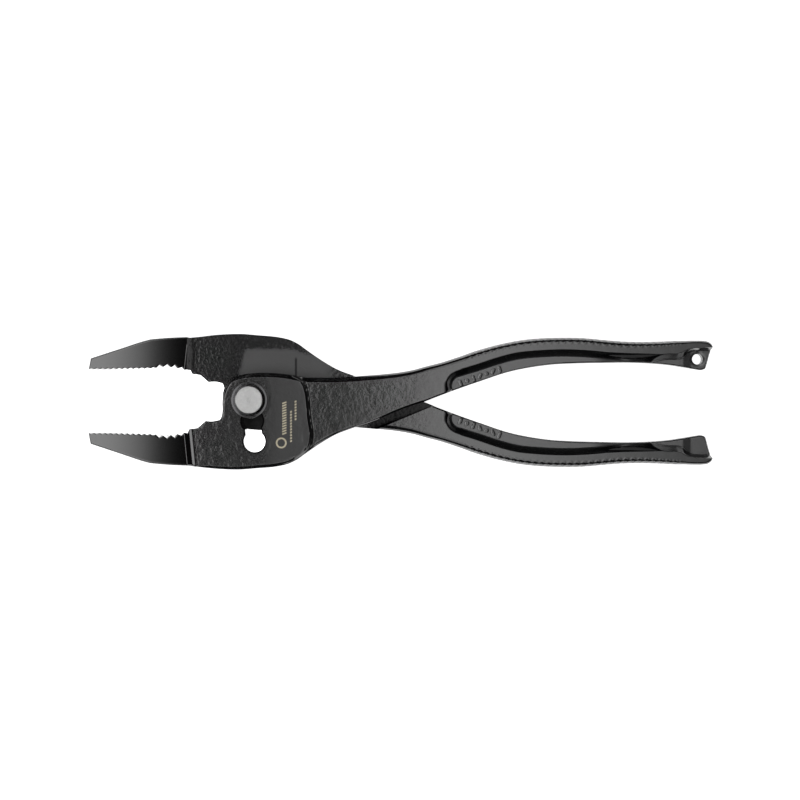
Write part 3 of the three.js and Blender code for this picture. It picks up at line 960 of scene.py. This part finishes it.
def forged_black(lap):
    """Black oxide over forged steel: ground jaws, leathery plates and satin handles."""
    s = Shader("black oxide", 0.0, 2.3)
    zone = lever_zones(s, lap)
    hide = s.noise(900, 3, 0.55)
    fine = s.noise(2600, 2, 0.5)
    grind = s.noise(500, 1, 0.5, stretch=(0.2, 3, 3))
    relief = s.math("ADD", hide, s.math("MULTIPLY", fine, 0.12))
    for name, share in (("satin", 0.4), ("land", 0.55), ("tilt", 0.2), ("neck", 0.6)):
        relief = s.product(relief, s.blend(zone[name], 1.0, share))
    handle = s.math("ADD", s.math("MULTIPLY", hide, 0.06), s.product(fine, s.blend(zone["web"], 0.05, 0.4)))
    relief = s.blend(zone["plate"], handle, relief)
    s.bump(s.blend(zone["ground"], relief, s.math("MULTIPLY", grind, 0.013)), 0.000115)
    roughness = s.blend(zone["plate"], 0.23, s.blend(zone["raised"], 0.2, 0.24))
    for name, value in (("satin", 0.34), ("land", 0.46), ("web", 0.3), ("tilt", 0.13), ("ground", 0.07)):
        roughness = s.blend(zone[name], roughness, value)
    roughness = s.math("ADD", roughness, s.remap(fine, 0.3, 0.7, -0.01, 0.02))
    s.put(s.blend(zone["shaded"], 0.5, 0.1), s.out.inputs["Specular IOR Level"])
    tone = s.colour(hide, grey(0.0015, 0.0003), grey(0.005, 0.0006))
    tone = s.colour(zone["ground"], tone, grey(0.0008, 0.0001))
    return s.finish(s.colour(zone["web"], tone, grey(0.055, 0.001)), roughness)


def turned_steel():
    """A faced bolt head: fine rings round the axis, a few scuffs, small changes in tone."""
    s = Shader("turned steel", 1.0)
    x, y, _ = s.axes()
    radius = s.math("SQRT", s.math("ADD", s.math("MULTIPLY", x, x), s.math("MULTIPLY", y, y)))
    rings = s.math("SINE", s.math("MULTIPLY", radius, 2 * math.pi / 0.00016))
    cloud = s.noise(700, 4, 0.65)
    s.bump(s.math("ADD", s.math("MULTIPLY", rings, 0.5), cloud), 0.00002)
    tone = s.colour(cloud, grey(0.55), grey(0.86, -0.01))
    return s.finish(tone, s.remap(cloud, 0.3, 0.7, 0.3, 0.42))


def dark_steel():
    """Oiled dark steel of the bolt's flank and the nut."""
    s = Shader("dark steel", 1.0)
    cloud = s.noise(900, 4, 0.6)
    s.bump(cloud, 0.00002)
    tone = s.colour(cloud, grey(0.09, 0.003), grey(0.17, 0.003))
    return s.finish(tone, s.remap(cloud, 0.3, 0.7, 0.16, 0.26))


def etched():
    """The light, grainy metal that etching leaves."""
    s = Shader("etched steel", 0.6)
    grain = s.noise(4000, 2, 0.5)
    s.bump(grain, 0.00001)
    tone = s.colour(grain, (0.72, 0.64, 0.46, 1), (0.95, 0.87, 0.68, 1))
    return s.finish(tone, s.remap(grain, 0.3, 0.7, 0.45, 0.6))


def dress(piece, *materials):
    """Gives a piece its materials in place of any it had."""
    piece.data.materials.clear()
    for mat in materials:
        piece.data.materials.append(mat)


bright, dark = turned_steel(), dark_steel()
dress(front, forged_black(PIVOT[2] + LAP * MM))
dress(rear, forged_black(PIVOT[2] - LAP * MM))
dress(bolt, bright, dark)
dress(nut, dark)
dress(mark, etched())
for face in bolt.data.polygons:
    face.material_index = 0 if face.center.z > PIVOT[2] + FACE * MM else 1


# ---------------------------------------------------------------- floor, lights and camera
FLOOR_X, FLOOR_R = 0.05, 3.0
FLOOR_Z = CAD_BOX[0][2] - 0.0002
# the light comes up a little stronger through the mouth and the slot: x, y and radii in x and y
GLOWS = ((-0.031, 0, 0.024, 0.0105), (0.004, -0.0135, 0.006, 0.005))


def floor():
    """A pale disc under the object, wide enough to fill every view."""
    mesh = bpy.data.meshes.new("floor")
    rim = [(x, y, FLOOR_Z) for x, y in circle(FLOOR_X, 0, FLOOR_R, 96)]
    mesh.from_pydata(rim, [], [tuple(range(len(rim)))])
    obj = bpy.data.objects.new("floor", mesh)
    bpy.context.scene.collection.objects.link(obj)
    s = Shader("pale floor", 0.0)
    s.put(grey(1), s.out.inputs["Emission Color"])
    x, y, _ = s.axes()
    glow = 1.0
    for cx, cy, rx, ry in GLOWS:
        u = s.math("DIVIDE", s.math("SUBTRACT", x, cx), rx)
        v = s.math("DIVIDE", s.math("SUBTRACT", y, cy), ry)
        distance = s.math("ADD", s.math("MULTIPLY", u, u), s.math("MULTIPLY", v, v))
        glow = s.math("ADD", glow, s.remap(distance, 1.3, 0.9, 0.0, 1.4))
    s.put(glow, s.out.inputs["Emission Strength"])
    dress(obj, s.finish(grey(0.8), 0.9))


SOFTBOX_HEIGHT = 0.5


def softbox(name, stops, y0, y1):
    """An overhead softbox with brightness along x: stops are (x, radiance), from left to right."""
    light = bpy.data.lights.new(name, "AREA")
    light.shape = "RECTANGLE"
    x0, x1 = stops[0][0], stops[-1][0]
    peak = max(radiance for _, radiance in stops)
    light.size, light.size_y = x1 - x0, y1 - y0
    light.energy = peak * math.pi * light.size * light.size_y
    light.use_nodes = True
    nodes, links = light.node_tree.nodes, light.node_tree.links
    place = nodes.new("ShaderNodeNewGeometry")
    split = nodes.new("ShaderNodeSeparateXYZ")
    ramp = nodes.new("ShaderNodeValToRGB")
    links.new(place.outputs["Parametric"], split.inputs[0])
    links.new(split.outputs[0], ramp.inputs[0])
    links.new(ramp.outputs[0], nodes["Emission"].inputs["Color"])
    while len(ramp.color_ramp.elements) < len(stops):
        ramp.color_ramp.elements.new(0.5)
    for element, (x, radiance) in zip(ramp.color_ramp.elements, stops):
        element.position = (x - x0) / (x1 - x0)
        element.color = (radiance / peak, radiance / peak, radiance / peak, 1)
    obj = bpy.data.objects.new(name, light)
    obj.location = ((x0 + x1) / 2, (y0 + y1) / 2, SOFTBOX_HEIGHT)
    bpy.context.scene.collection.objects.link(obj)


def studio_world():
    """White where the camera sees it, and nearly black as a light."""
    world = bpy.data.worlds.new("studio")
    bpy.context.scene.world = world
    world.use_nodes = True
    nodes, links = world.node_tree.nodes, world.node_tree.links
    path = nodes.new("ShaderNodeLightPath")
    mix = nodes.new("ShaderNodeMix")
    mix.data_type = "RGBA"
    mix.inputs[6].default_value = grey(0.012)
    mix.inputs[7].default_value = grey(1)
    links.new(path.outputs["Is Camera Ray"], mix.inputs[0])
    links.new(mix.outputs[2], nodes["Background"].inputs["Color"])


floor()
softbox("left softbox", (
    (-0.65, 1.4), (-0.24, 1.4), (-0.22, 1.2), (-0.197, 0.85), (-0.185, 0.64), (-0.175, 0.42),
    (-0.164, 0.2), (-0.152, 0.08), (-0.14, 0.02), (-0.125, 0.0)), -0.5, 0.5)
softbox("right softbox", (
    (0.03, 0.0), (0.05, 1.0), (0.08, 1.25), (0.12, 1.15), (0.16, 0.92), (0.2, 0.62),
    (0.25, 0.42), (0.3, 0.22), (0.5, 0.1)), -0.5, 0.5)
for name, middle in (("end softbox", -0.345), ("end softbox 2", 0.345)):
    softbox(name, ((-0.13, 0.0), (-0.1, 0.8), (0.0, 0.8), (0.03, 0.8)), middle - 0.11, middle + 0.11)
studio_world()
bpy.context.scene.view_settings.view_transform = "Standard"

CAMERA_HEIGHT = 0.375  # above the lap plane
VIEW_WIDTH = 0.2667  # at the lap plane
camera = bpy.data.objects.new("camera", bpy.data.cameras.new("camera"))
bpy.context.scene.collection.objects.link(camera)
camera.data.sensor_width = 36
camera.data.lens = camera.data.sensor_width * CAMERA_HEIGHT / VIEW_WIDTH
camera.location = (0.0493, 0.0, PIVOT[2] + CAMERA_HEIGHT)
camera.data.clip_start = 0.01
bpy.context.scene.camera = camera
